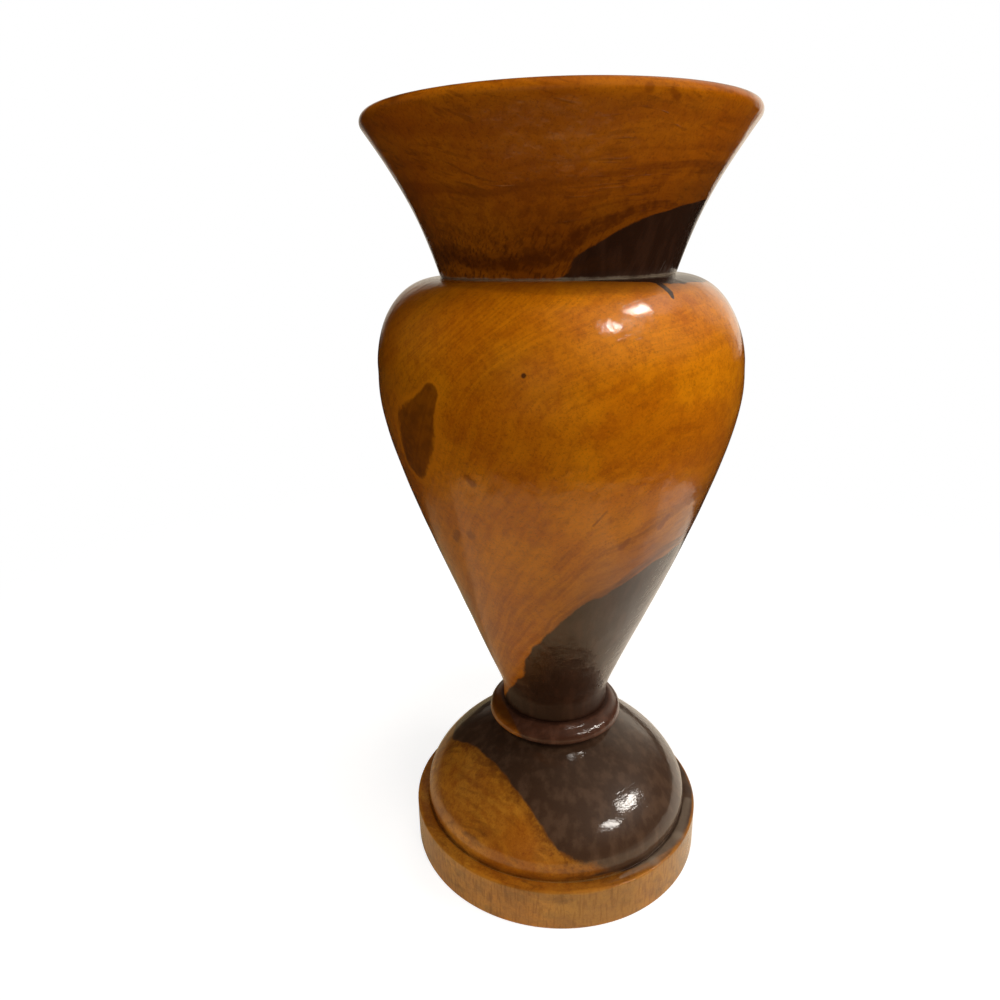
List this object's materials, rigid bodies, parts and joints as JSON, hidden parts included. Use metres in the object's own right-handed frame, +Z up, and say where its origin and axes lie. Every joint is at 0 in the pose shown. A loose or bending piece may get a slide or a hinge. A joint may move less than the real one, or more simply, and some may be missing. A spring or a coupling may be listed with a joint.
{
  "type": "turned wooden vase",
  "caption": "Turned two-tone wooden vase with a flared mouth, hollow urn body, slim stem with a collar ring, and a domed foot on a low round plinth.",
  "frame": {"origin": "middle of the flat ring that the vase stands on", "axes": "+Z up the turning axis towards the mouth; -Y towards the side that the picture shows"},
  "size_m": [0.128, 0.128, 0.28],
  "materials": {
    "foot_wood": "clear gloss over orange sapwood and near-black heartwood",
    "collar_wood": "clear gloss over dark heartwood with an orange-brown side",
    "body_wood": "clear gloss over orange sapwood with brown knots and dark heartwood at the stem",
    "neck_wood": "clear gloss over brown-orange sapwood with a dark heartwood side"
  },
  "bodies": {
    "root": {"foot": "foot_wood", "stem_collar": "collar_wood", "body": "body_wood", "neck": "neck_wood"}
  },
  "joints": []
}
